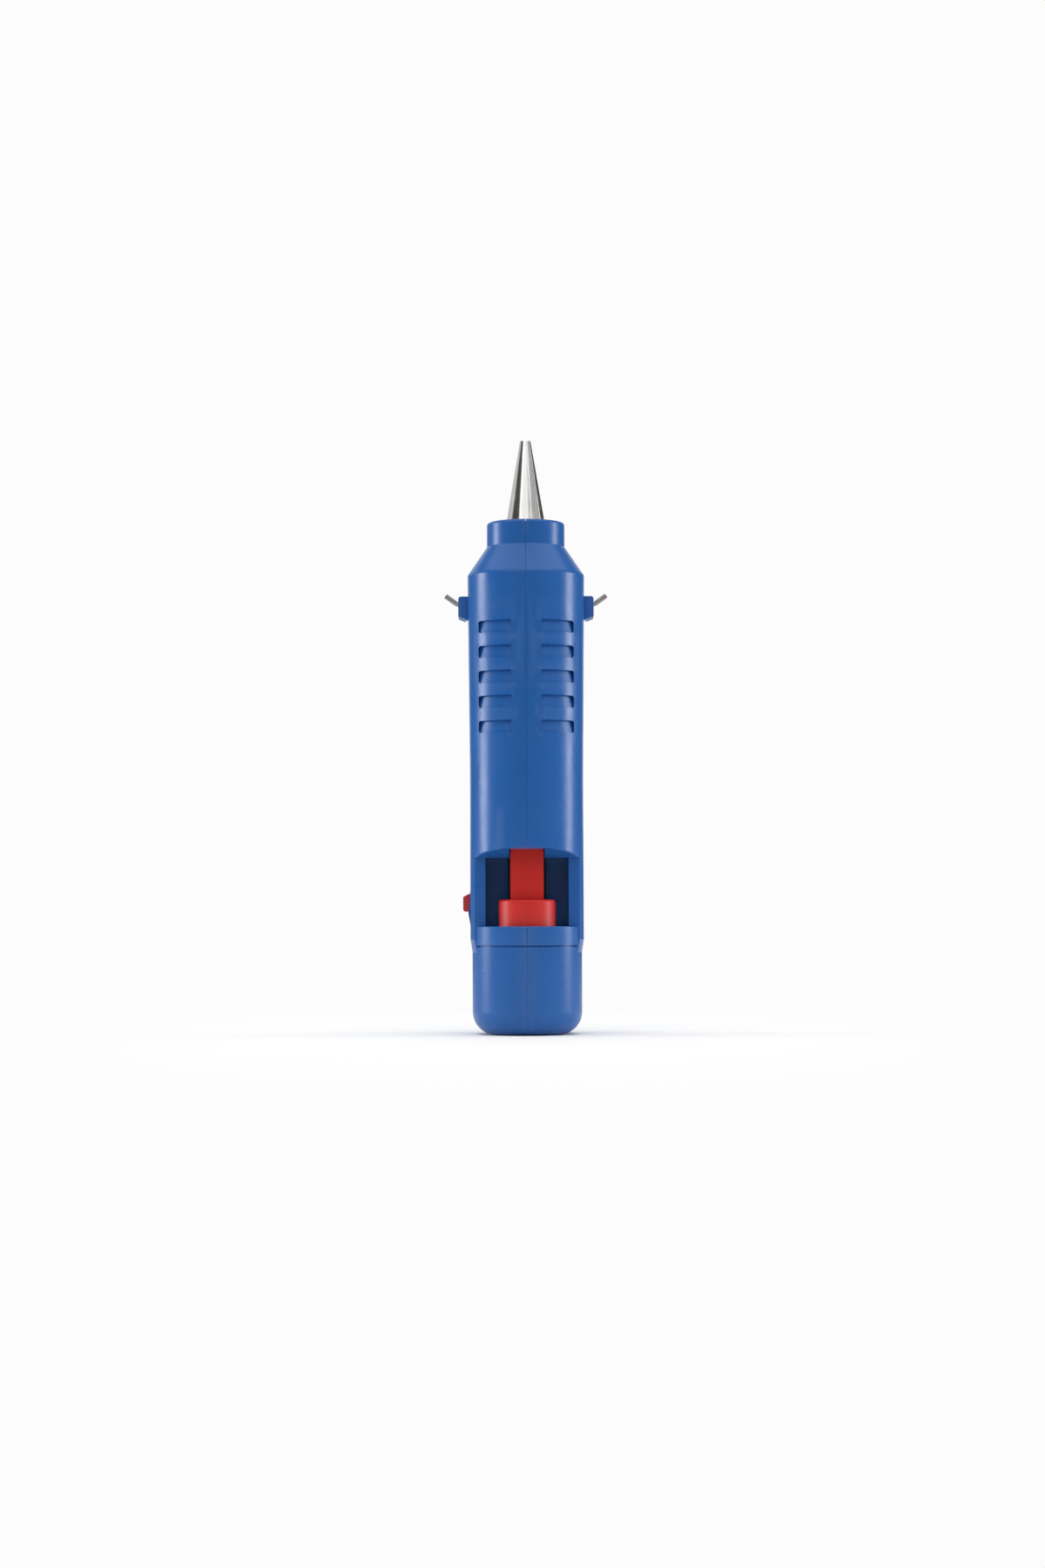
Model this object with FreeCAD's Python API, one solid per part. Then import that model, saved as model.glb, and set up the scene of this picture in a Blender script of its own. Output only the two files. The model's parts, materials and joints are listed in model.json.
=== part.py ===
"""Cordless glue gun with an upright barrel, built as an assembly of separate pieces.

Units are millimetres. +Z runs up along the glue channel to the nozzle, -Y is the front with the
finger notch, and -X is the side with the power button. The origin is the centre of the channel in
the flat base that the gun stands on.
"""
import FreeCAD, Part
import math
import os

V = FreeCAD.Vector
X_AXIS = V(1, 0, 0)
Y_AXIS = V(0, 1, 0)
Z_AXIS = V(0, 0, 1)
FAR = 60.0                      # longer than any cut has to be

# Housing
TAIL_RADIUS = 19.6
RIM_RADIUS = 19.8
BODY_RADIUS = 20.3
SHOULDER_RADIUS = 21.0
COLLAR_RADIUS = 14.0
COLLAR_BORE = 7.6
WALL = 2.2
BASE_ROUND = 8.1
SHOULDER_ROUND = 1.6
EDGE_ROUND = 0.5
GROOVE_HALF = 0.08
GROOVE_DEPTH = 0.12
HUMP_DEPTH = 11.0               # how far the rear half circle stands behind the front one
RIM_BOTTOM = 31.9
NOTCH_FLOOR = 38.6
TAPER_START = 93.0
HUMP_TOP = 80.0
BLEND_TOP = 124.0
SHOULDER_Z = 164.7
COLLAR_Z = 175.0
COLLAR_TOP = 183.75
NOZZLE_TIP = 213.6

# Finger notch and the pocket behind it
CHEEK_Y = -8.0
CEILING_Z = 63.0                # at the cheek plane
CEILING_SLOPE = 0.30
POCKET_HALF = 14.8
POCKET_BACK = 6.6
LINER = 1.3

# Glue channel
STICK_BORE = 5.9
TUBE_RADIUS = 6.9
TUBE_TOP = 74.0

# Trigger
TRIGGER_TRAVEL = 8.0
PAD_RADIUS = 10.2
PAD_Y = -6.5                    # centre of the pad's round front
PAD_BOTTOM = 30.0
PAD_TOP = 48.1
STEM_HALF = 5.9
STEM_FRONT = -11.2
STEM_BACK = -8.2
RUNNING_GAP = 0.35
COIL_STEPS = 12                 # runs in one turn of a spring
SLOT_FRONT = 17.8               # the stem's slot in the ceiling reaches the back of the front wall

# Reversing levers and the carriage that they lift
PIVOT_Y = -1.0
PIVOT_Z = 85.0
ARM = 9.0
BAR_RADIUS = 1.5
PIN_RADIUS = 2.0
LEVER_INNER = 8.0
LEVER_OUTER = 9.6
BAR_END = 10.0
CARRIAGE_RADIUS = 7.3
CARRIAGE_BOTTOM = 76.0
CARRIAGE_TOP = 90.0
JAW_Y = 10.8
JAW_Z = 83.5

# Hot end
CHAMBER_RADIUS = 8.0
CHAMBER_BOTTOM = 108.0
CHAMBER_TOP = 170.0
CHAMBER_FLAT = 7.2
NECK_RADIUS = 4.5
NOZZLE_BASE_RADIUS = 7.05
NOZZLE_TIP_RADIUS = 1.95
HEATER_LOW = 126.0
HEATER_HIGH = 156.0

# Power
CELL_RADIUS = 9.25
CELL_Y = 18.4
CELL_BOTTOM = 12.0
CELL_TOP = 77.0
BOARD_Y = 20.6
BOARD_HALF = 8.5
BOARD_THICKNESS = 1.6
BOARD_BOTTOM = 80.0
BOARD_TOP = 95.0
USB_Z = 85.0
LED_Z = 93.0
BUTTON_Y = 11.5
BUTTON_Z = 47.2
BUTTON_TIP = 23.1
BUTTON_HALF = 3.2

# Housing screws: (y, z) of each axis, which lies along X
SCREW_PLACES = [(18.0, 7.0), (17.5, 90.0), (14.0, 110.0), (14.5, 140.0)]
SCREW_RADIUS = 1.2
SCREW_HEAD_RADIUS = 2.6
BOSS_RADIUS = 3.0

# Vents
VENT_COUNT = 5
VENT_PITCH = 8.9
VENT_TOP = 147.2
VENT_HEIGHT = 4.3
VENT_INNER = 5.3
VENT_OUTER = 16.9
VENT_DEPTH = 1.3

# Wire stand
LUG_OUTER = 24.4
LUG_LOW = 148.9
LUG_HIGH = 157.4
LUG_WEB = 4.5
LUG_DEPTH = 12.0
LUG_CHEEK = 2.6
STAND_Y = 8.0
STAND_Z = 155.4
STAND_WIRE = 0.9


# ---------------------------------------------------------------- basic shapes
def block(x_low, x_high, y_low, y_high, z_low, z_high):
    """A box between two corners."""
    return Part.makeBox(x_high - x_low, y_high - y_low, z_high - z_low, V(x_low, y_low, z_low))


def upright(radius, z_low, z_high, x=0.0, y=0.0):
    """A cylinder along Z."""
    return Part.makeCylinder(radius, z_high - z_low, V(x, y, z_low), Z_AXIS)


def crosswise(radius, x_low, x_high, y, z):
    """A cylinder along X."""
    return Part.makeCylinder(radius, x_high - x_low, V(x_low, y, z), X_AXIS)


def tube(inner, outer, z_low, z_high):
    """A round tube about the glue channel."""
    return upright(outer, z_low, z_high).cut(upright(inner, z_low - 1.0, z_high + 1.0))


def turned(profile):
    """A solid of revolution about Z from (radius, z) points."""
    wire = Part.makePolygon([V(r, 0, z) for r, z in profile + profile[:1]])
    return Part.Face(wire).revolve(V(0, 0, 0), Z_AXIS, 360)


def plate(points, x_low, x_high):
    """A flat plate across X from (y, z) points."""
    wire = Part.makePolygon([V(x_low, y, z) for y, z in points + points[:1]])
    return Part.Face(wire).extrude(V(x_high - x_low, 0, 0))


def mirrored(shape):
    """The same piece on the other side of the X = 0 plane."""
    return shape.mirror(V(0, 0, 0), X_AXIS)


def stadium_wire(radius, depth, z):
    """Front half circle on the channel axis, and an equal rear half circle behind it."""
    front = Part.Arc(V(-radius, 0, z), V(0, -radius, z), V(radius, 0, z)).toShape()
    right = Part.makeLine(V(radius, 0, z), V(radius, depth, z))
    rear = Part.Arc(V(radius, depth, z), V(0, depth + radius, z), V(-radius, depth, z)).toShape()
    left = Part.makeLine(V(-radius, depth, z), V(-radius, 0, z))
    return Part.Wire([front, right, rear, left])


def stadium_prism(radius, z_low, z_high):
    """A straight length of the lower body."""
    wire = stadium_wire(radius, HUMP_DEPTH, z_low)
    return Part.Face(wire).extrude(V(0, 0, z_high - z_low))


def edges_at(shape, z):
    """The edges that lie wholly at one height."""
    box_of = [(edge, edge.BoundBox) for edge in shape.Edges]
    return [edge for edge, box in box_of if abs(box.ZMin - z) < 0.01 and abs(box.ZMax - z) < 0.01]


def rounded_route(points, bend):
    """Straight runs joined by tangent arcs of one bend radius."""
    corners = [V(*point) for point in points]
    edges = []
    start = corners[0]
    for before, corner, after in zip(corners, corners[1:], corners[2:]):
        arriving = (corner - before).normalize()
        leaving = (after - corner).normalize()
        turn = arriving.getAngle(leaving)
        reach = bend * math.tan(turn / 2)
        entry = corner - arriving * reach
        leave = corner + leaving * reach
        inward = (leaving - arriving).normalize()
        middle = corner + inward * (bend / math.cos(turn / 2) - bend)
        edges.append(Part.makeLine(start, entry))
        edges.append(Part.Arc(entry, middle, leave).toShape())
        start = leave
    edges.append(Part.makeLine(start, corners[-1]))
    return Part.Wire(edges)


def rod(points, bend, radius):
    """Round wire bent along a route."""
    route = rounded_route(points, bend)
    direction = V(*points[1]) - V(*points[0])
    section = Part.Wire(Part.makeCircle(radius, V(*points[0]), direction))
    return route.makePipeShell([section], True, False)


def coil(turns, height, mean_radius, wire_radius):
    """A spring that starts beside the origin and winds up along Z, in short runs joined by arcs."""
    count = round(turns * COIL_STEPS)
    points = []
    for index in range(count + 1):
        angle = 2 * math.pi * index / COIL_STEPS
        points.append((mean_radius * math.cos(angle), mean_radius * math.sin(angle), height * index / count))
    return rod(points, 0.9 * mean_radius, wire_radius)


# ---------------------------------------------------------------- housing
def barrel_radius(z):
    """The barrel widens a little from the mechanism to the shoulder."""
    share = max(0.0, (z - TAPER_START) / (SHOULDER_Z - TAPER_START))
    return BODY_RADIUS + (SHOULDER_RADIUS - BODY_RADIUS) * share


def hump_depth(z):
    """The rear hump fades smoothly into the round barrel."""
    share = (z - HUMP_TOP) / (BLEND_TOP - HUMP_TOP)
    smooth = share * share * (3 - 2 * share)
    return max(0.1, HUMP_DEPTH * (1 - smooth))


def finger_notch(grow):
    """The space under the sloping ceiling, open to the front and both sides."""
    back = CHEEK_Y + grow
    low = CEILING_Z + grow
    high = low + CEILING_SLOPE * FAR
    return plate([(back, 0), (back, low), (back - FAR, high), (back - FAR, 0)], -FAR, FAR)


def envelope(inset):
    """The housing's outside, or its inside at one wall thickness in."""
    upper_parts = [stadium_prism(BODY_RADIUS - inset, 34.0, HUMP_TOP)]
    waist = [stadium_wire(TAIL_RADIUS - 0.05 - inset, HUMP_DEPTH, 29.0),
             stadium_wire(BODY_RADIUS - inset, HUMP_DEPTH, 34.0)]
    upper_parts.append(Part.makeLoft(waist, True))
    heights = [HUMP_TOP + (BLEND_TOP - HUMP_TOP) * step / 6 for step in range(7)]
    blend = [stadium_wire(barrel_radius(z) - inset, hump_depth(z), z) for z in heights]
    upper_parts.append(Part.makeLoft(blend, True))
    if inset:
        barrel = turned([(0, BLEND_TOP), (barrel_radius(BLEND_TOP) - inset, BLEND_TOP),
                         (SHOULDER_RADIUS - inset, SHOULDER_Z - 1), (COLLAR_RADIUS - inset, COLLAR_Z - 1),
                         (COLLAR_RADIUS - inset, COLLAR_TOP - 3.2), (0, COLLAR_TOP - 3.2)])
    else:
        barrel = turned([(0, BLEND_TOP), (barrel_radius(BLEND_TOP), BLEND_TOP),
                         (SHOULDER_RADIUS, SHOULDER_Z), (COLLAR_RADIUS, COLLAR_Z),
                         (COLLAR_RADIUS, COLLAR_TOP), (0, COLLAR_TOP)])
        barrel = barrel.makeFillet(SHOULDER_ROUND, edges_at(barrel, SHOULDER_Z))
        barrel = barrel.makeFillet(1.0, edges_at(barrel, COLLAR_TOP))
    upper = upper_parts[0].fuse(upper_parts[1:] + [barrel])
    upper = upper.cut(finger_notch(inset))
    tail = stadium_prism(TAIL_RADIUS - inset, inset, NOTCH_FLOOR - inset)
    tail = tail.makeFillet(BASE_ROUND - inset, edges_at(tail, inset))
    return upper.fuse(tail)


def rim_band():
    """The slightly proud band below the notch, with a shadow groove under it."""
    band = stadium_prism(RIM_RADIUS, RIM_BOTTOM, NOTCH_FLOOR)
    return band.common(block(-FAR, FAR, -FAR, CHEEK_Y, 0, FAR))


def rim_groove():
    """The groove runs round the front half only."""
    ring = tube(TAIL_RADIUS - 0.5, FAR, RIM_BOTTOM - 0.6, RIM_BOTTOM)
    return ring.common(block(-17.6, 17.6, -FAR, CHEEK_Y, 0, FAR))


def soften_notch(shape):
    """Rounds the arch over the notch and the rim's top edge."""
    chosen = []
    for edge in shape.Edges:
        box = edge.BoundBox
        middle = edge.valueAt((edge.FirstParameter + edge.LastParameter) / 2)
        on_arch = CEILING_Z + 2 < middle.z and box.ZMax < CEILING_Z + 5 and middle.y < CHEEK_Y - 3
        on_rim = abs(box.ZMin - NOTCH_FLOOR) < 0.01 and box.ZLength < 0.01 and middle.y < -RIM_RADIUS + 1
        if on_arch or on_rim:
            chosen.append(edge)
    return shape.makeFillet(EDGE_ROUND, chosen)


def parting_groove(outside):
    """The fine groove where the two shells meet, all round the outline."""
    slab = block(-GROOVE_HALF, GROOVE_HALF, -FAR, FAR, -1, COLLAR_TOP + 1)
    return slab.common(outside).cut(envelope(GROOVE_DEPTH))


def pad_outline(grow, z_low, z_high):
    """The trigger pad's D shape, round at the front."""
    disc = upright(PAD_RADIUS + grow, z_low, z_high, 0, PAD_Y)
    return disc.cut(block(-FAR, FAR, PAD_Y + grow, FAR, z_low - 1, z_high + 1))


def vent_cuts():
    """Shallow moulded louvres on both sides of the front, deepest along their top edge."""
    cuts = []
    for index in range(VENT_COUNT):
        top = VENT_TOP - index * VENT_PITCH
        core = barrel_radius(top)
        pocket = block(VENT_INNER, VENT_OUTER, -FAR, 0, top - VENT_HEIGHT, top)
        pocket = pocket.makeFillet(0.7, [edge for edge in pocket.Edges if is_along_y(edge)])
        slope = Part.makeCone(core - 0.55, core - VENT_DEPTH, VENT_HEIGHT, V(0, 0, top - VENT_HEIGHT))
        pocket = pocket.cut(slope)
        cuts.append(pocket)
        cuts.append(mirrored(pocket))
    return cuts


def is_along_y(edge):
    """True for an edge parallel to Y."""
    box = edge.BoundBox
    return box.XLength < 0.01 and box.ZLength < 0.01


def stand_lug():
    """The right-hand lug: a web on the barrel and a cheek that the stand's wire passes through."""
    outline = [(15.0, LUG_LOW), (LUG_OUTER - 3.3, LUG_LOW), (LUG_OUTER, LUG_LOW + 1.3),
               (LUG_OUTER, LUG_HIGH), (15.0, LUG_HIGH)]
    wire = Part.makePolygon([V(x, 0, z) for x, z in outline + outline[:1]])
    lug = Part.Face(wire).extrude(V(0, LUG_DEPTH, 0))
    corner = [edge for edge in lug.Edges if is_along_y(edge) and edge.BoundBox.ZMin > LUG_HIGH - 0.01
              and edge.BoundBox.XMin > LUG_OUTER - 0.01]
    lug = lug.makeFillet(1.0, corner)
    lug = lug.cut(block(0, LUG_OUTER - LUG_CHEEK, LUG_WEB, FAR, 0, 200))
    return lug.cut(crosswise(STAND_WIRE + 0.1, 0, FAR, STAND_Y, STAND_Z))


def screw_boss(y, z):
    """A boss across the whole housing; the split at X = 0 makes it two."""
    return crosswise(BOSS_RADIUS, -FAR, FAR, y, z)


def button_bezel():
    """A low raised pad round the power button, highest under it and fading out below."""
    points = [(-18.5, 52.0), (-20.4, 52.0), (-21.2, 43.4), (-20.4, 38.8), (-18.5, 38.8)]
    wire = Part.makePolygon([V(x, BUTTON_Y - 4.4, z) for x, z in points + points[:1]])
    return Part.Face(wire).extrude(V(0, 8.8, 0))


def housing():
    """The whole hollow housing before it is split."""
    outside = soften_notch(envelope(0.0).fuse(rim_band()).removeSplitter())
    groove = parting_groove(outside)
    outside = outside.fuse([stand_lug(), mirrored(stand_lug()), button_bezel()])
    inside = envelope(WALL)
    liner_half = POCKET_HALF + LINER
    inside = inside.cut(block(-liner_half, liner_half, CHEEK_Y, POCKET_BACK + LINER,
                              NOTCH_FLOOR - WALL, CEILING_Z + WALL))
    for y, z in SCREW_PLACES:
        inside = inside.cut(screw_boss(y, z))
    pivot_boss = crosswise(3.4, LEVER_OUTER + 0.3, FAR, PIVOT_Y, PIVOT_Z)
    inside = inside.cut([pivot_boss, mirrored(pivot_boss)])
    inside = inside.cut(block(-FAR, FAR, -5.5, POCKET_BACK, 16.0, 18.0))
    spring_seat = upright(5.0, 0, 8.0, 0, -12.0)
    inside = inside.cut(spring_seat)
    shell = outside.cut(inside)
    pocket = block(-POCKET_HALF, POCKET_HALF, -FAR, POCKET_BACK, NOTCH_FLOOR, CEILING_Z)
    holes = [pocket,
             groove,
             rim_groove(),
             upright(TUBE_RADIUS, -1, 70.0),
             upright(9.0, -1, 2.2),
             pad_outline(RUNNING_GAP, PAD_BOTTOM, NOTCH_FLOOR + 1),
             block(-STEM_HALF - 0.4, STEM_HALF + 0.4, -SLOT_FRONT, -6.5, CEILING_Z - 3, 70.0),
             upright(COLLAR_BORE, COLLAR_TOP - 5, COLLAR_TOP + 1)]
    holes.extend(screw_holes())
    holes.extend(vent_cuts())
    holes.append(button_hole())
    holes.append(crosswise(PIN_RADIUS, -15.0, 15.0, PIVOT_Y, PIVOT_Z))
    holes.append(usb_shape(0.25, FAR))
    holes.append(Part.makeCylinder(1.6, FAR, V(0, BOARD_Y + 3, LED_Z), Y_AXIS))
    return shell.cut(holes)


def screw_holes():
    """Counterbores on the right, clearance holes, and pilot holes that the threads fill on the left."""
    holes = []
    for y, z in SCREW_PLACES:
        holes.append(crosswise(SCREW_HEAD_RADIUS + 0.2, 9.0, FAR, y, z))
        holes.append(crosswise(SCREW_RADIUS + 0.2, 0, FAR, y, z))
        holes.append(crosswise(SCREW_RADIUS, -9.0, 0, y, z))
    return holes


def button_hole():
    """The opening for the power button, smaller than the flange behind it."""
    half_height = BUTTON_HALF + 0.2
    return block(-FAR, -16.0, BUTTON_Y - 3.1, BUTTON_Y + 3.1, BUTTON_Z - half_height, BUTTON_Z + half_height)


def half(shape, side):
    """One clamshell half: side is -1 for left, +1 for right."""
    keep = block(0, FAR, -FAR, FAR, -1, 250)
    if side < 0:
        keep = mirrored(keep)
    return shape.common(keep)


def housing_screws():
    """Four equal pan-head screws."""
    screws = []
    for y, z in SCREW_PLACES:
        head = crosswise(SCREW_HEAD_RADIUS, 9.0, 10.8, y, z)
        head = head.makeFillet(0.7, [edge for edge in head.Edges if edge.BoundBox.XMin > 10.7])
        shank = crosswise(SCREW_RADIUS, -8.6, 9.0, y, z)
        screw = head.fuse(shank)
        slot_long = block(10.0, 11.0, y - 1.7, y + 1.7, z - 0.3, z + 0.3)
        slot_cross = block(10.0, 11.0, y - 0.3, y + 0.3, z - 1.7, z + 1.7)
        screws.append(screw.cut([slot_long, slot_cross]))
    return Part.makeCompound(screws)


# ---------------------------------------------------------------- trigger
def trigger():
    """Pad below the finger, stem up through the ceiling, and the bar that the levers hold."""
    pad = pad_outline(0.0, PAD_BOTTOM, PAD_TOP)
    pad = pad.makeFillet(1.0, edges_at(pad, PAD_TOP))
    pad = pad.cut(upright(TUBE_RADIUS + RUNNING_GAP, PAD_BOTTOM - 1, PAD_TOP + 1))
    stem = block(-STEM_HALF, STEM_HALF, STEM_FRONT, STEM_BACK, PAD_TOP - 8, PIVOT_Z + 8.0)
    bar_z = PIVOT_Z + TRIGGER_TRAVEL / 2
    bar = crosswise(BAR_RADIUS, -BAR_END, BAR_END, PIVOT_Y - ARM, bar_z)
    return pad.fuse([stem, bar]).removeSplitter()


def trigger_spring():
    """Compression spring between the tail floor and the pad's underside."""
    wire_radius = 0.45
    height = PAD_BOTTOM - 8.0 - 2 * wire_radius - 0.1
    spring = coil(8, height, 3.7, wire_radius)
    spring.translate(V(0, -12.0, 8.0 + wire_radius))
    return spring


# ---------------------------------------------------------------- lever, carriage and jaw
def lever(x_low):
    """One reversing lever: a hub and two forked arms, made level and then tipped to its rest angle."""
    x_high = x_low + LEVER_OUTER - LEVER_INNER
    half_height = BAR_RADIUS + RUNNING_GAP - 0.05
    arm = block(x_low, x_high, PIVOT_Y - 12.0, PIVOT_Y + 12.0, PIVOT_Z - 3.5, PIVOT_Z + 3.5)
    arm = arm.makeFillet(1.2, [edge for edge in arm.Edges if edge.BoundBox.YLength < 0.01
                               and edge.BoundBox.ZLength < 0.01])
    arm = arm.fuse(crosswise(4.4, x_low, x_high, PIVOT_Y, PIVOT_Z))
    front_slot = block(x_low - 1, x_high + 1, PIVOT_Y - FAR, PIVOT_Y - 7.0,
                       PIVOT_Z - half_height, PIVOT_Z + half_height)
    rear_slot = block(x_low - 1, x_high + 1, PIVOT_Y + 7.0, PIVOT_Y + FAR,
                      PIVOT_Z - half_height, PIVOT_Z + half_height)
    arm = arm.cut([front_slot, rear_slot, crosswise(PIN_RADIUS + 0.05, x_low - 1, x_high + 1,
                                                    PIVOT_Y, PIVOT_Z)])
    rest_angle = math.degrees(math.atan2(TRIGGER_TRAVEL / 2, ARM))
    arm.rotate(V(0, PIVOT_Y, PIVOT_Z), X_AXIS, -rest_angle)
    return arm


def lever_pins():
    """Two stub pins pressed into the housing bosses, clear of the glue channel between them."""
    left = crosswise(PIN_RADIUS, -15.0, -LEVER_INNER + 0.3, PIVOT_Y, PIVOT_Z)
    return Part.makeCompound([left, mirrored(left)])


def feed_carriage():
    """Ring round the glue stick with two side trunnions and two cheeks for the jaw."""
    body = upright(CARRIAGE_RADIUS, CARRIAGE_BOTTOM, CARRIAGE_TOP)
    cheeks = block(-5.6, 5.6, 4.0, JAW_Y + 2.4, CARRIAGE_BOTTOM + 2, CARRIAGE_TOP - 2)
    body = body.fuse(cheeks)
    trunnion_z = PIVOT_Z - TRIGGER_TRAVEL / 2
    body = body.fuse(crosswise(BAR_RADIUS, -BAR_END, BAR_END, PIVOT_Y + ARM, trunnion_z))
    body = body.cut(upright(STICK_BORE, CARRIAGE_BOTTOM - 1, CARRIAGE_TOP + 1))
    body = body.cut(block(-3.9, 3.9, 2.0, FAR, CARRIAGE_BOTTOM + 3, CARRIAGE_TOP + 1))
    return body.cut(crosswise(1.25, -FAR, FAR, JAW_Y, JAW_Z)).removeSplitter()


def grip_jaw():
    """Cam with a toothed tip that bites the glue stick when the carriage rises."""
    points = [(JAW_Y + 2.0, JAW_Z - 1.4), (JAW_Y + 2.0, JAW_Z + 1.4), (JAW_Y - 1.0, JAW_Z + 3.6),
              (6.4, JAW_Z + 5.4), (6.7, JAW_Z + 4.6), (6.2, JAW_Z + 4.2), (6.7, JAW_Z + 3.6),
              (6.3, JAW_Z + 3.0), (7.2, JAW_Z + 2.2), (JAW_Y - 1.4, JAW_Z - 1.8)]
    jaw = plate(points, -2.0, 2.0)
    return jaw.cut(crosswise(1.3, -3, 3, JAW_Y, JAW_Z))


def jaw_pin():
    """The pin that the jaw turns on, pressed into both cheeks."""
    return crosswise(1.25, -5.6, 5.6, JAW_Y, JAW_Z)


def jaw_spring():
    """Small torsion spring beside the jaw, round its pin."""
    spring = coil(1.5, 1.1, 1.9, 0.3)
    spring.rotate(V(0, 0, 0), Y_AXIS, 90)
    spring.translate(V(2.4, JAW_Y, JAW_Z))
    return spring


# ---------------------------------------------------------------- glue path
def guide_tube():
    """Straight tube that leads the glue stick from the base to the carriage."""
    return tube(STICK_BORE, TUBE_RADIUS, 1.4, TUBE_TOP)


def inlet_ring():
    """Ring round the stick inlet, flush with the base."""
    ring = tube(TUBE_RADIUS, 9.0, 0, WALL)
    lip = tube(STICK_BORE, 9.0, 0, 1.4)
    return ring.fuse(lip).removeSplitter()


def inlet_sleeve():
    """Silicone sleeve that stops molten glue from running back."""
    sleeve = tube(5.8, 8.8, 100.0, 116.0)
    sleeve = sleeve.makeFillet(0.8, [edge for edge in edges_at(sleeve, 100.0) if edge.BoundBox.XMax > 8])
    return sleeve.cut(upright(7.0, CHAMBER_BOTTOM, 117.0))


def melt_chamber():
    """Aluminium chamber with two flats for the heaters and a threaded neck for the nozzle."""
    body = turned([(7.0, CHAMBER_BOTTOM), (7.0, 116.0), (CHAMBER_RADIUS, 116.0),
                   (CHAMBER_RADIUS, CHAMBER_TOP), (NECK_RADIUS, CHAMBER_TOP), (NECK_RADIUS, 182.0),
                   (1.5, 182.0), (1.5, 172.0), (5.8, 160.0), (5.8, CHAMBER_BOTTOM)])
    flat = block(CHAMBER_FLAT, FAR, -FAR, FAR, HEATER_LOW - 4, HEATER_HIGH + 2)
    return body.cut([flat, mirrored(flat)])


def heater_plates():
    """Two ceramic heating elements on the chamber's flats."""
    right = block(CHAMBER_FLAT, CHAMBER_FLAT + 2.2, -3.3, 3.3, HEATER_LOW, HEATER_HIGH)
    return Part.makeCompound([mirrored(right), right])


def heater_films():
    """Insulating sheets between the heating elements and the clip."""
    low = CHAMBER_FLAT + 2.2
    right = block(low, low + 0.4, -3.6, 3.6, HEATER_LOW - 1, HEATER_HIGH + 1)
    return Part.makeCompound([mirrored(right), right])


def heater_clip():
    """Spring-steel C clip that holds the heating elements against the chamber."""
    clip = tube(10.45, 11.05, 134.0, 148.0)
    return clip.cut(block(-7.0, 7.0, 0, FAR, 130, 150))


def thermal_fuse():
    """Cut-out fuse lying along the back of the chamber."""
    fuse = upright(1.7, 142.5, 152.5, 0, CHAMBER_RADIUS + 1.72)
    return fuse.makeFillet(0.5, edges_at(fuse, 142.5) + edges_at(fuse, 152.5))


def temperature_sensor():
    """Glass-bead sensor against the front of the chamber."""
    sensor = upright(1.0, 128.0, 132.0, 0, -CHAMBER_RADIUS - 1.02)
    return sensor.makeFillet(0.7, edges_at(sensor, 132.0))


def holder(z_low):
    """Heat-proof ring that carries the chamber in the housing, with four holes for air and wires."""
    outer = barrel_radius(z_low) - WALL - 0.15
    ring = tube(CHAMBER_RADIUS, outer, z_low, z_low + 3.0)
    for quarter in range(4):
        angle = math.radians(45 + 90 * quarter)
        reach = (CHAMBER_RADIUS + outer) / 2
        ring = ring.cut(upright(3.2, z_low - 1, z_low + 4, reach * math.cos(angle),
                                reach * math.sin(angle)))
    return ring


def hexagon(across_corners, z_low, z_high):
    """A hexagonal prism about the channel."""
    angles = [math.radians(30 + 60 * index) for index in range(7)]
    points = [V(across_corners * math.cos(angle), across_corners * math.sin(angle), z_low)
              for angle in angles]
    return Part.Face(Part.makePolygon(points)).extrude(V(0, 0, z_high - z_low))


def nozzle():
    """Plated cone with a hexagon for the spanner, hidden in the collar."""
    cone = turned([(0, CHAMBER_TOP), (NOZZLE_BASE_RADIUS, CHAMBER_TOP), (NOZZLE_BASE_RADIUS, COLLAR_TOP),
                   (NOZZLE_TIP_RADIUS, NOZZLE_TIP - 0.15), (NOZZLE_TIP_RADIUS - 0.15, NOZZLE_TIP),
                   (0, NOZZLE_TIP)])
    cone = cone.fuse(hexagon(8.5, CHAMBER_TOP, 177.0)).removeSplitter()
    passage = turned([(0, CHAMBER_TOP - 1), (NECK_RADIUS, CHAMBER_TOP - 1), (NECK_RADIUS, 182.0),
                      (1.5, 186.0), (1.3, 206.0), (0.8, NOZZLE_TIP + 1), (0, NOZZLE_TIP + 1)])
    return cone.cut(passage)


def nozzle_insulator():
    """Heat-proof washer between the nozzle and the collar."""
    return tube(NOZZLE_BASE_RADIUS, COLLAR_RADIUS - WALL - 0.15, 178.2, COLLAR_TOP - 3.2)


# ---------------------------------------------------------------- power and controls
def battery_cell():
    """Rechargeable cell with its raised contact."""
    cell = upright(CELL_RADIUS, CELL_BOTTOM, CELL_TOP - 0.8, 0, CELL_Y)
    cell = cell.makeFillet(0.8, edges_at(cell, CELL_BOTTOM) + edges_at(cell, CELL_TOP - 0.8))
    return cell.fuse(upright(3.0, CELL_TOP - 0.8, CELL_TOP, 0, CELL_Y))


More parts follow.
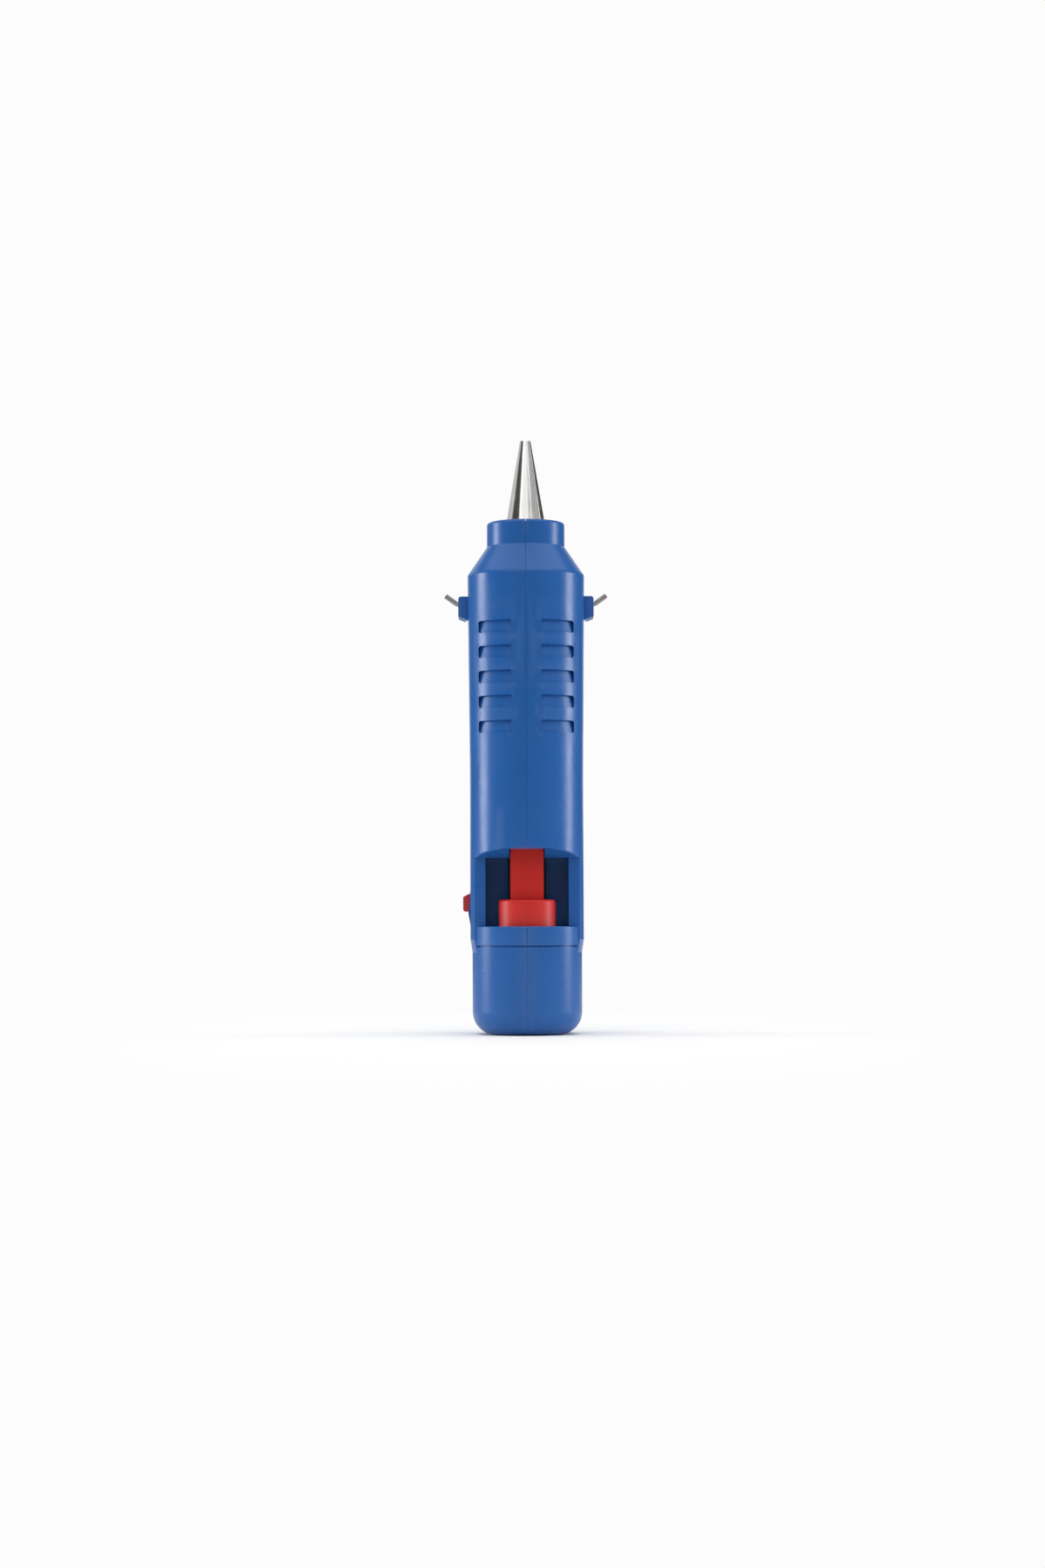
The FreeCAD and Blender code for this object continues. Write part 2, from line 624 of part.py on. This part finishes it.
def battery_tabs():
    """Nickel strips from both ends of the cell up to the board."""
    top = block(-3.0, 3.0, CELL_Y - 3, BOARD_Y + 0.8, CELL_TOP, CELL_TOP + 0.25)
    top_leg = block(-3.0, 3.0, BOARD_Y + 0.55, BOARD_Y + 0.8, CELL_TOP, BOARD_BOTTOM)
    back = CELL_Y + CELL_RADIUS + 0.3
    bottom = block(-2.0, 2.0, CELL_Y - 4, back, CELL_BOTTOM - 0.25, CELL_BOTTOM)
    bottom_leg = block(-2.0, 2.0, back - 0.25, back, CELL_BOTTOM - 0.25, BOARD_BOTTOM - 1)
    foot = block(-2.0, 2.0, BOARD_Y + 1.0, back, BOARD_BOTTOM - 1.25, BOARD_BOTTOM - 1)
    foot_leg = block(-2.0, 2.0, BOARD_Y + 1.0, BOARD_Y + 1.25, BOARD_BOTTOM - 1.25, BOARD_BOTTOM)
    return Part.makeCompound([top.fuse(top_leg), bottom.fuse([bottom_leg, foot, foot_leg])])


def battery_cradle():
    """Black tray round the front of the cell, with a shelf under it."""
    tray = upright(CELL_RADIUS + 1.1, 10.0, 75.0, 0, CELL_Y)
    tray = tray.cut(upright(CELL_RADIUS + 0.1, 11.6, 80.0, 0, CELL_Y))
    return tray.cut(block(-FAR, FAR, CELL_Y, FAR, 9, 80))


def control_board():
    """Circuit board with its components as raised blocks on the back and one coil on the front."""
    board_back = BOARD_Y + BOARD_THICKNESS
    board = block(-BOARD_HALF, BOARD_HALF, BOARD_Y, board_back, BOARD_BOTTOM, BOARD_TOP)
    chips = [(-8.0, -5.2, 81.5, 86.0, 1.2), (5.2, 8.0, 82.0, 86.0, 1.6), (-3.5, 0.5, 88.0, 91.0, 0.9),
             (-7.5, -4.5, 88.5, 92.0, 1.5), (3.5, 6.5, 89.5, 93.0, 0.8)]
    for x_low, x_high, z_low, z_high, height in chips:
        board = board.fuse(block(x_low, x_high, board_back, board_back + height, z_low, z_high))
    return board


def usb_shape(grow, length):
    """The rounded section of the charging socket, seen from behind the gun."""
    body = block(-4.5 - grow, 4.5 + grow, BOARD_Y + BOARD_THICKNESS, BOARD_Y + length,
                 USB_Z - 1.6 - grow, USB_Z + 1.6 + grow)
    return body.makeFillet(1.5 + grow, [edge for edge in body.Edges if is_along_y(edge)])


def usb_socket():
    """Charging socket on the board, open to the back, with its contact tongue."""
    shell = usb_shape(0.0, 9.3)
    hollow = usb_shape(-0.3, FAR).translated(V(0, 1.5, 0))
    tongue = block(-3.3, 3.3, BOARD_Y + BOARD_THICKNESS + 1.0, BOARD_Y + 7.5, USB_Z - 0.35, USB_Z + 0.35)
    return shell.cut(hollow).fuse(tongue)


def power_switch():
    """Push switch behind the power button, with its plunger and two pins."""
    body = block(-15.2, -11.0, BUTTON_Y - 1.6, BUTTON_Y + 4.4, BUTTON_Z - 3.0, BUTTON_Z + 3.0)
    pins = [crosswise(0.4, -11.2, -10.6, BUTTON_Y + 3.6, BUTTON_Z + offset) for offset in (-1.5, 1.5)]
    return body.fuse(pins)


def power_button():
    """Sprung push button with a flat face, a sloping top and a flange that keeps it in."""
    profile = [(-16.6, BUTTON_Z - BUTTON_HALF), (0.6 - BUTTON_TIP, BUTTON_Z - BUTTON_HALF),
               (-BUTTON_TIP, BUTTON_Z - BUTTON_HALF + 0.6), (-BUTTON_TIP, BUTTON_Z + BUTTON_HALF - 1.1),
               (2.0 - BUTTON_TIP, BUTTON_Z + BUTTON_HALF), (-16.6, BUTTON_Z + BUTTON_HALF)]
    wire = Part.makePolygon([V(x, BUTTON_Y - 2.9, z) for x, z in profile + profile[:1]])
    cap = Part.Face(wire).extrude(V(0, 5.8, 0))
    half_height = BUTTON_HALF + 0.8
    flange = block(-17.6, -16.8, BUTTON_Y - 3.3, BUTTON_Y + 3.3, BUTTON_Z - half_height, BUTTON_Z + half_height)
    return cap.fuse(flange).removeSplitter()


def status_led():
    """Indicator lamp on the board."""
    base = BOARD_Y + BOARD_THICKNESS
    return Part.makeCylinder(1.4, 1.6, V(0, base, LED_Z), Y_AXIS)


def led_lens():
    """Clear light guide from the lamp to the back of the housing."""
    base = BOARD_Y + BOARD_THICKNESS + 1.7
    outside = hump_depth(LED_Z) + barrel_radius(LED_Z)
    return Part.makeCylinder(1.5, outside - base - 0.3, V(0, base, LED_Z), Y_AXIS)


def heater_leads():
    """Two insulated wires from the heating elements down to the board."""
    points = [(8.5, 3.95, 131.0), (8.5, 5.2, 125.5), (9.3, 9.3, 120.5), (9.9, 8.2, 104.5),
              (8.6, 15.0, 96.4), (7.4, BOARD_Y - 0.25, 94.2)]
    right = rod(points, 2.0, 0.6)
    return Part.makeCompound([mirrored(right), right])


def switch_leads():
    """Two insulated wires from the power switch up to the board."""
    leads = []
    for offset in (0.0, 1.8):
        points = [(-12.2 - offset, BUTTON_Y + 2.0, BUTTON_Z + 3.0),
                  (-12.2 - offset, BUTTON_Y + 2.4, 66.0),
                  (-11.4 - offset, 18.0, 75.0),
                  (-5.4 - offset, BOARD_Y + 0.8, BOARD_BOTTOM - 0.7)]
        leads.append(rod(points, 2.5, 0.55))
    return Part.makeCompound(leads)


# ---------------------------------------------------------------- stand
def stand_wire():
    """One bent spring wire: two short tails, two legs that hang down the back, and a cross bar."""
    tail = math.radians(36)
    lean = math.radians(17.5)
    tail_reach = 5.1
    leg_x = LUG_OUTER - 3.8
    foot_x = 16.5
    knee = 30.0
    length = 84.0
    tip = V(LUG_OUTER + 0.6 + tail_reach * math.cos(tail), STAND_Y,
            STAND_Z + tail_reach * math.sin(tail))

    def on_leg(x, down):
        """A point at one distance down the leaning leg."""
        return V(x, STAND_Y + down * math.sin(lean), STAND_Z - down * math.cos(lean))

    right = [tip, V(LUG_OUTER + 0.6, STAND_Y, STAND_Z), on_leg(leg_x, 0), on_leg(foot_x, knee),
             on_leg(foot_x, length)]
    left = [V(-point.x, point.y, point.z) for point in reversed(right)]
    return rod([tuple(point) for point in right + left], 1.3, STAND_WIRE)


# ---------------------------------------------------------------- assembly
def pieces():
    """Every sub-part under its node name."""
    whole_housing = housing()
    return {
        "shell_left": half(whole_housing, -1),
        "shell_right": half(whole_housing, 1),
        "housing_screws": housing_screws(),
        "trigger": trigger(),
        "trigger_spring": trigger_spring(),
        "lever_left": lever(-LEVER_OUTER),
        "lever_right": lever(LEVER_INNER),
        "lever_pins": lever_pins(),
        "feed_carriage": feed_carriage(),
        "grip_jaw": grip_jaw(),
        "jaw_pin": jaw_pin(),
        "jaw_spring": jaw_spring(),
        "guide_tube": guide_tube(),
        "inlet_ring": inlet_ring(),
        "inlet_sleeve": inlet_sleeve(),
        "melt_chamber": melt_chamber(),
        "heater_plates": heater_plates(),
        "heater_films": heater_films(),
        "heater_clip": heater_clip(),
        "thermal_fuse": thermal_fuse(),
        "temperature_sensor": temperature_sensor(),
        "rear_holder": holder(118.0),
        "front_holder": holder(160.5),
        "nozzle": nozzle(),
        "nozzle_insulator": nozzle_insulator(),
        "battery_cell": battery_cell(),
        "battery_tabs": battery_tabs(),
        "battery_cradle": battery_cradle(),
        "control_board": control_board(),
        "usb_socket": usb_socket(),
        "power_switch": power_switch(),
        "power_button": power_button(),
        "status_led": status_led(),
        "led_lens": led_lens(),
        "heater_leads": heater_leads(),
        "switch_leads": switch_leads(),
        "stand_wire": stand_wire(),
    }


def main():
    """Write one STEP file per sub-part."""
    os.makedirs("parts", exist_ok=True)
    for name, shape in pieces().items():
        solids = len(shape.Solids)
        print(f"{name}: {solids} solid(s), {shape.Volume:.0f} mm3, valid {shape.isValid()}")
        shape.exportStep(f"parts/{name}.step")


main()
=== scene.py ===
"""Looks for the upright cordless glue gun: materials, studio light, floor and camera."""
import json
import math

import bpy
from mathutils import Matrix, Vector

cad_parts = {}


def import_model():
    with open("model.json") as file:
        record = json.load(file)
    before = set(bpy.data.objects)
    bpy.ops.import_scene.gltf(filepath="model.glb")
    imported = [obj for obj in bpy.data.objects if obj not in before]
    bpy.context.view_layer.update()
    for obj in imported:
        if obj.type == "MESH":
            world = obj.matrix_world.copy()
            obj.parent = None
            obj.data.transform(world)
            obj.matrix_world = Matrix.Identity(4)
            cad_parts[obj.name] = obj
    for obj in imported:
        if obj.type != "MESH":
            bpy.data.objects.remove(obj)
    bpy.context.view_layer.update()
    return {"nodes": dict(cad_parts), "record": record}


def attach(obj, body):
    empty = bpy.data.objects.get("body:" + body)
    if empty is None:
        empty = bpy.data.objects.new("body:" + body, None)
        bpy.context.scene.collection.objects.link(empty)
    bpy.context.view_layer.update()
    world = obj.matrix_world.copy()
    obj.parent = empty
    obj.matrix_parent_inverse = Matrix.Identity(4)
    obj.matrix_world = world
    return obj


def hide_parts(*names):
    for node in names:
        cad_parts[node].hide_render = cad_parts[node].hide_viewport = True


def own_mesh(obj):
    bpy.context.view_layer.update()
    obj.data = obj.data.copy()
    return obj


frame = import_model()
NODES = frame["nodes"]

# Camera, in metres: level with the floor of the finger notch, a little over a metre in front, tilted up to
# centre the gun, and rolled a little
EYE_HEIGHT = 0.0388
EYE_DISTANCE = 1.094
AIM_HEIGHT = 0.0897
SIDE_STEP = -0.00148
ROLL_DEG = -0.22
LENS_MM = 70.0
SENSOR_MM = 36.0

# Studio
FLOOR_RADIUS = 1.0
FLOOR_SIDES = 96
FLOOR_FADE = (0.025, 0.15)      # metres beside the gun over which the floor turns into the lit backdrop
FLOOR_STRETCH = (1.0, 0.3, 1.0)  # the fade runs further out in front of and behind the gun
PAPER_DARK = (0.90, 0.90, 0.90)
PAPER_LIGHT = (0.92, 0.92, 0.92)
BACKDROP_LEVEL = 0.975
AMBIENT_LEVEL = 0.06

# Soft lights, all rectangular: name, azimuth in degrees (0 is in front, and it grows towards +X), distance
# from the gun's axis, width, height, height of the centre, radiance, and the height that it aims at
SOFTBOXES = (
    ("strip_left", -97, 0.75, 0.24, 0.32, 0.20, 11.5, 0.20),
    ("strip_right", 95, 0.75, 0.22, 0.32, 0.20, 10.8, 0.20),
    ("front_box", -11, 1.50, 1.60, 0.70, 0.88, 0.98, 0.11),
    ("right_card", 56, 1.50, 2.30, 0.80, 0.86, 0.40, 0.11),
    ("right_line", 103, 1.50, 0.14, 0.40, 0.72, 1.4, 0.11),
    ("left_card", -125, 1.50, 1.70, 0.60, 0.72, 0.55, 0.11),
    ("back_wall", 180, 1.50, 1.50, 1.50, 0.80, 0.9, 0.11),
    ("overhead", 0, 0.30, 3.0, 3.0, 1.60, 1.40, 0.0),
)

# Finishes
EDGE_POINTINESS = (0.53, 0.60)  # where an edge starts to look worn, and where it is worn in full
NOISE_BAND = (0.3, 0.7)         # where noise has most of its values, for an even spread


# ---------------------------------------------------------------- node helpers
class Graph:
    """A small wrapper that makes and links shader nodes."""

    def __init__(self, tree):
        self.tree = tree

    def add(self, kind, **settings):
        """A node of one kind, with its properties set."""
        node = self.tree.nodes.new(kind)
        for name, value in settings.items():
            setattr(node, name, value)
        return node

    def link(self, output, socket):
        """A link from an output to an input socket."""
        self.tree.links.new(output, socket)

    def noise(self, scale, detail=3.0, roughness=0.5, stretch=(1, 1, 1)):
        """Object-space noise, so that it doesn't depend on UVs. Scale is in features per metre."""
        place = self.add("ShaderNodeTexCoord")
        mapping = self.add("ShaderNodeMapping")
        mapping.inputs["Scale"].default_value = stretch
        texture = self.add("ShaderNodeTexNoise")
        texture.inputs["Scale"].default_value = scale
        texture.inputs["Detail"].default_value = detail
        texture.inputs["Roughness"].default_value = roughness
        self.link(place.outputs["Object"], mapping.inputs["Vector"])
        self.link(mapping.outputs["Vector"], texture.inputs["Vector"])
        return texture.outputs["Fac"]

    def ramp(self, value, low, high, low_out, high_out):
        """Maps a value range onto another, clamped."""
        node = self.add("ShaderNodeMapRange")
        node.inputs["From Min"].default_value = low
        node.inputs["From Max"].default_value = high
        node.inputs["To Min"].default_value = low_out
        node.inputs["To Max"].default_value = high_out
        self.link(value, node.inputs["Value"])
        return node.outputs["Result"]

    def mix(self, factor, first, second):
        """Mixes two colours by a socket's value; either colour may be a socket or a plain colour."""
        node = self.add("ShaderNodeMix", data_type="RGBA")
        self.link(factor, node.inputs[0])
        for socket, value in ((node.inputs[6], first), (node.inputs[7], second)):
            if isinstance(value, tuple):
                socket.default_value = (*value, 1.0)
            else:
                self.link(value, socket)
        return node.outputs[2]

    def bump(self, height, strength, distance, normal=None):
        """A bump normal from a height."""
        node = self.add("ShaderNodeBump")
        node.inputs["Strength"].default_value = strength
        node.inputs["Distance"].default_value = distance
        self.link(height, node.inputs["Height"])
        if normal is not None:
            self.link(normal, node.inputs["Normal"])
        return node.outputs["Normal"]


def new_material(name):
    """An empty material with its Principled shader."""
    material = bpy.data.materials.new(name)
    material.use_nodes = True
    graph = Graph(material.node_tree)
    shader = material.node_tree.nodes["Principled BSDF"]
    return material, graph, shader


def edge_wear(graph, colour, tint, amount):
    """Lightens convex edges a little, where handling rubs them."""
    geometry = graph.add("ShaderNodeNewGeometry")
    edge = graph.ramp(geometry.outputs["Pointiness"], *EDGE_POINTINESS, 0.0, amount)
    return graph.mix(edge, colour, tint)


# ---------------------------------------------------------------- materials
def moulded_plastic(name, colour, roughness, grain=0.02, wear=0.12, specular=0.5):
    """Injection-moulded plastic: faint colour drift, fine spark-erosion grain and softly worn edges."""
    material, graph, shader = new_material(name)
    dark = tuple(0.97 * channel for channel in colour)
    light = tuple(min(1.0, 1.03 * channel) for channel in colour)
    drift = graph.mix(graph.ramp(graph.noise(scale=55.0, detail=2.0), *NOISE_BAND, 0.0, 1.0), dark, light)
    pale = tuple(channel + 0.25 * (1.0 - channel) for channel in colour)
    worn = edge_wear(graph, drift, pale, wear)
    graph.link(worn, shader.inputs["Base Color"])
    grain_noise = graph.noise(scale=5200.0, detail=2.0, roughness=0.6)
    smudge = graph.noise(scale=90.0, detail=4.0, roughness=0.6)
    rough = graph.ramp(smudge, 0.3, 0.75, roughness - 0.04, roughness + 0.05)
    graph.link(rough, shader.inputs["Roughness"])
    wave = graph.bump(graph.noise(scale=240.0, detail=2.0), strength=0.05, distance=0.0004)
    fine = graph.bump(grain_noise, strength=grain, distance=0.00006, normal=wave)
    graph.link(fine, shader.inputs["Normal"])
    shader.inputs["Specular IOR Level"].default_value = specular
    return material


def turned_metal(name, colour, roughness):
    """Lathe-turned metal with fine rings round Z and a few faint streaks along it."""
    material, graph, shader = new_material(name)
    streaks = graph.noise(scale=60.0, detail=5.0, roughness=0.65, stretch=(6, 6, 0.5))
    duller = tuple(0.86 * channel for channel in colour)
    graph.link(graph.mix(graph.ramp(streaks, 0.35, 0.75, 0.0, 0.6), colour, duller),
               shader.inputs["Base Color"])
    shader.inputs["Metallic"].default_value = 1.0
    smears = graph.noise(scale=140.0, detail=4.0, roughness=0.6)
    graph.link(graph.ramp(smears, 0.3, 0.75, roughness - 0.03, roughness + 0.07),
               shader.inputs["Roughness"])
    rings = graph.noise(scale=2600.0, detail=2.0, roughness=0.5, stretch=(0.02, 0.02, 1.0))
    graph.link(graph.bump(rings, strength=0.05, distance=0.00003), shader.inputs["Normal"])
    return material


def drawn_steel(name, colour, roughness, scale=900.0):
    """Drawn or rolled steel with a fine brushed grain and slight mottling."""
    material, graph, shader = new_material(name)
    mottle = graph.noise(scale=300.0, detail=4.0, roughness=0.6)
    darker = tuple(0.8 * channel for channel in colour)
    graph.link(graph.mix(graph.ramp(mottle, 0.35, 0.7, 0.0, 1.0), colour, darker),
               shader.inputs["Base Color"])
    shader.inputs["Metallic"].default_value = 1.0
    graph.link(graph.ramp(mottle, 0.3, 0.75, roughness - 0.05, roughness + 0.1),
               shader.inputs["Roughness"])
    grain = graph.noise(scale=scale, detail=3.0, roughness=0.6, stretch=(1.0, 0.15, 1.0))
    graph.link(graph.bump(grain, strength=0.08, distance=0.00004), shader.inputs["Normal"])
    return material


def soft_rubber(name, colour, roughness=0.6):
    """Silicone or wire insulation: matt, slightly dusty."""
    material, graph, shader = new_material(name)
    dusty = tuple(channel + 0.12 * (0.8 - channel) for channel in colour)
    dust = graph.ramp(graph.noise(scale=700.0, detail=5.0, roughness=0.7), 0.5, 0.8, 0.0, 0.5)
    graph.link(graph.mix(dust, colour, dusty), shader.inputs["Base Color"])
    wiped = graph.noise(scale=300.0, detail=3.0)
    rough = graph.ramp(wiped, *NOISE_BAND, roughness - 0.06, roughness + 0.08)
    graph.link(rough, shader.inputs["Roughness"])
    skin = graph.noise(scale=1800.0, detail=3.0)
    graph.link(graph.bump(skin, strength=0.06, distance=0.00005), shader.inputs["Normal"])
    return material


def fired_ceramic(name, colour):
    """Sintered ceramic or mica board: chalky with a speckle."""
    material, graph, shader = new_material(name)
    speck = graph.ramp(graph.noise(scale=2400.0, detail=4.0, roughness=0.7), 0.45, 0.65, 0.0, 1.0)
    darker = tuple(0.8 * channel for channel in colour)
    graph.link(graph.mix(speck, colour, darker), shader.inputs["Base Color"])
    chalk = graph.noise(scale=500.0, detail=3.0)
    graph.link(graph.ramp(chalk, *NOISE_BAND, 0.62, 0.8), shader.inputs["Roughness"])
    grit = graph.noise(scale=2400.0, detail=3.0)
    graph.link(graph.bump(grit, strength=0.15, distance=0.00006), shader.inputs["Normal"])
    return material


def clear_plastic(name, colour):
    """Transparent light guide with faint polishing haze."""
    material, graph, shader = new_material(name)
    haze = graph.ramp(graph.noise(scale=400.0, detail=3.0), *NOISE_BAND, 0.05, 0.16)
    graph.link(haze, shader.inputs["Roughness"])
    tint = graph.mix(graph.ramp(graph.noise(scale=200.0, detail=2.0), *NOISE_BAND, 0.0, 1.0), colour,
                     tuple(0.94 * channel for channel in colour))
    graph.link(tint, shader.inputs["Base Color"])
    shader.inputs["Transmission Weight"].default_value = 0.85
    shader.inputs["IOR"].default_value = 1.49
    return material


def coated_board(name, colour):
    """Circuit board with copper tracks showing faintly through the solder mask."""
    material, graph, shader = new_material(name)
    place = graph.add("ShaderNodeTexCoord")
    tracks = graph.add("ShaderNodeTexBrick")
    tracks.inputs["Scale"].default_value = 260.0
    tracks.inputs["Mortar Size"].default_value = 0.06
    tracks.inputs["Color1"].default_value = (*colour, 1.0)
    tracks.inputs["Color2"].default_value = (*tuple(0.8 * channel for channel in colour), 1.0)
    tracks.inputs["Mortar"].default_value = (*tuple(1.7 * channel for channel in colour), 1.0)
    graph.link(place.outputs["Object"], tracks.inputs["Vector"])
    graph.link(tracks.outputs["Color"], shader.inputs["Base Color"])
    lacquer = graph.noise(scale=400.0, detail=3.0)
    graph.link(graph.ramp(lacquer, *NOISE_BAND, 0.28, 0.42), shader.inputs["Roughness"])
    return material


MATERIALS = {
    "housing_plastic": moulded_plastic("housing_blue", (0.018, 0.112, 0.375), 0.29, wear=0.10,
                                      specular=0.30),
    "trigger_plastic": moulded_plastic("trigger_red", (0.60, 0.017, 0.012), 0.40, grain=0.01, wear=0.10,
                                      specular=0.30),
    "carriage_plastic": moulded_plastic("natural_nylon", (0.74, 0.73, 0.68), 0.45),
    "black_plastic": moulded_plastic("black_nylon", (0.016, 0.017, 0.02), 0.5, wear=0.03),
    "led_body": moulded_plastic("lamp_white", (0.75, 0.8, 0.75), 0.25),
    "insulating_film": moulded_plastic("amber_film", (0.62, 0.27, 0.04), 0.25),
    "silicone": soft_rubber("red_silicone", (0.5, 0.07, 0.04)),
    "lead_insulation": soft_rubber("lead_red", (0.5, 0.02, 0.02), 0.5),
    "cast_aluminium": drawn_steel("cast_aluminium", (0.78, 0.78, 0.79), 0.45, 500.0),
    "fuse_metal": drawn_steel("fuse_can", (0.75, 0.74, 0.72), 0.35),
    "heater_ceramic": fired_ceramic("heater_ceramic", (0.78, 0.76, 0.7)),
    "holder_board": fired_ceramic("mica_board", (0.42, 0.31, 0.19)),
    "sensor_glass": clear_plastic("sensor_bead", (0.8, 0.5, 0.25)),
    "clear_plastic": clear_plastic("light_guide", (0.92, 0.96, 0.93)),
    "nozzle_plating": turned_metal("nozzle_plating", (0.80, 0.79, 0.775), 0.16),
    "cell_can": moulded_plastic("cell_sleeve", (0.06, 0.26, 0.24), 0.28),
    "nickel_strip": drawn_steel("nickel_strip", (0.7, 0.67, 0.61), 0.32),
    "board_laminate": coated_board("solder_mask", (0.015, 0.13, 0.05)),
    "socket_steel": drawn_steel("socket_steel", (0.72, 0.72, 0.72), 0.3),
    "spring_steel": drawn_steel("spring_steel", (0.55, 0.55, 0.56), 0.3),
    "lever_steel": drawn_steel("zinc_plate", (0.66, 0.66, 0.64), 0.38),
    "pin_steel": drawn_steel("ground_pin", (0.7, 0.7, 0.7), 0.22),
    "screw_steel": drawn_steel("black_zinc", (0.2, 0.2, 0.21), 0.38),
    "stand_steel": drawn_steel("stand_wire_steel", (0.30, 0.29, 0.285), 0.30),
}


def dress_nodes():
    """Each CAD node gets the material of its slot in the record."""
    slot_of = {entry["node"]: entry["material_slot"] for entry in frame["record"]["subparts"]}
    for name, node in NODES.items():
        node.data.materials.clear()
        node.data.materials.append(MATERIALS[slot_of[name]])


def return_spring():
    """The trigger's spring as a piece of its own, hung on the housing in place of its CAD node, which is
    hidden.
    """
    piece = bpy.data.objects.new("return_spring", NODES["trigger_spring"].data.copy())
    bpy.context.scene.collection.objects.link(piece)
    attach(piece, "housing")
    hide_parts("trigger_spring")
    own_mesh(piece)


# ---------------------------------------------------------------- studio
def floor():
    """A plain pale floor that takes the gun's shadow and turns into the lit backdrop further out."""
    mesh = bpy.data.meshes.new("floor")
    turns = [2 * math.pi * side / FLOOR_SIDES for side in range(FLOOR_SIDES)]
    rim = [(FLOOR_RADIUS * math.cos(turn), FLOOR_RADIUS * math.sin(turn), 0) for turn in turns]
    mesh.from_pydata(rim, [], [tuple(range(FLOOR_SIDES))])
    plane = bpy.data.objects.new("floor", mesh)
    bpy.context.scene.collection.objects.link(plane)
    material, graph, shader = new_material("floor_paper")
    shade = graph.ramp(graph.noise(scale=2.0, detail=3.0), 0.2, 0.8, 0.0, 1.0)
    graph.link(graph.mix(shade, PAPER_DARK, PAPER_LIGHT), shader.inputs["Base Color"])
    shader.inputs["Roughness"].default_value = 0.9
    shader.inputs["Specular IOR Level"].default_value = 0.1
    place = graph.add("ShaderNodeTexCoord")
    stretch = graph.add("ShaderNodeVectorMath", operation="MULTIPLY")
    stretch.inputs[1].default_value = FLOOR_STRETCH
    graph.link(place.outputs["Object"], stretch.inputs[0])
    reach = graph.add("ShaderNodeVectorMath", operation="LENGTH")
    graph.link(stretch.outputs["Vector"], reach.inputs[0])
    glow = graph.add("ShaderNodeEmission")
    glow.inputs["Strength"].default_value = BACKDROP_LEVEL
    blend = graph.add("ShaderNodeMixShader")
    graph.link(graph.ramp(reach.outputs["Value"], *FLOOR_FADE, 0.0, 1.0), blend.inputs[0])
    graph.link(shader.outputs["BSDF"], blend.inputs[1])
    graph.link(glow.outputs["Emission"], blend.inputs[2])
    graph.link(blend.outputs["Shader"], material.node_tree.nodes["Material Output"].inputs["Surface"])
    mesh.materials.append(material)


def softbox(name, azimuth, distance, width, height, centre_z, radiance, aim_z):
    """One rectangular soft light, which the camera doesn't see."""
    light = bpy.data.lights.new(name, "AREA")
    light.shape = "RECTANGLE"
    light.size = width
    light.size_y = height
    light.energy = radiance * math.pi * width * height
    lamp = bpy.data.objects.new(name, light)
    bpy.context.scene.collection.objects.link(lamp)
    angle = math.radians(azimuth)
    place = Vector((distance * math.sin(angle), -distance * math.cos(angle), centre_z))
    lamp.location = place
    lamp.rotation_euler = (Vector((0, 0, aim_z)) - place).to_track_quat("-Z", "Y").to_euler()
    lamp.visible_camera = False


def lights():
    """Strips beside the gun, cards that the nozzle mirrors, a pale wall behind and a broad overhead box."""
    for row in SOFTBOXES:
        softbox(*row)


def world():
    """White behind the gun for the camera, and a softer level for the light it gives."""
    scene_world = bpy.data.worlds.new("studio")
    scene_world.use_nodes = True
    bpy.context.scene.world = scene_world
    graph = Graph(scene_world.node_tree)
    background = scene_world.node_tree.nodes["Background"]
    path = graph.add("ShaderNodeLightPath")
    level = graph.ramp(path.outputs["Is Camera Ray"], 0.0, 1.0, AMBIENT_LEVEL, BACKDROP_LEVEL)
    background.inputs["Color"].default_value = (1.0, 1.0, 1.0, 1.0)
    graph.link(level, background.inputs["Strength"])


def camera():
    """The photograph's viewpoint."""
    data = bpy.data.cameras.new("camera")
    data.lens = LENS_MM
    data.sensor_width = SENSOR_MM
    data.sensor_fit = "AUTO"
    viewer = bpy.data.objects.new("camera", data)
    bpy.context.scene.collection.objects.link(viewer)
    viewer.location = (SIDE_STEP, -EYE_DISTANCE, EYE_HEIGHT)
    aim = Vector((SIDE_STEP, 0, AIM_HEIGHT))
    viewer.rotation_euler = (aim - viewer.location).to_track_quat("-Z", "Y").to_euler()
    viewer.rotation_euler.rotate_axis("Z", math.radians(ROLL_DEG))
    bpy.context.scene.camera = viewer


def colour_management():
    """Plain sRGB, so that the white stays white and the blue stays as deep as it is."""
    bpy.context.scene.view_settings.view_transform = "Standard"
    bpy.context.scene.view_settings.look = "None"


camera()
colour_management()
dress_nodes()
return_spring()
floor()
lights()
world()
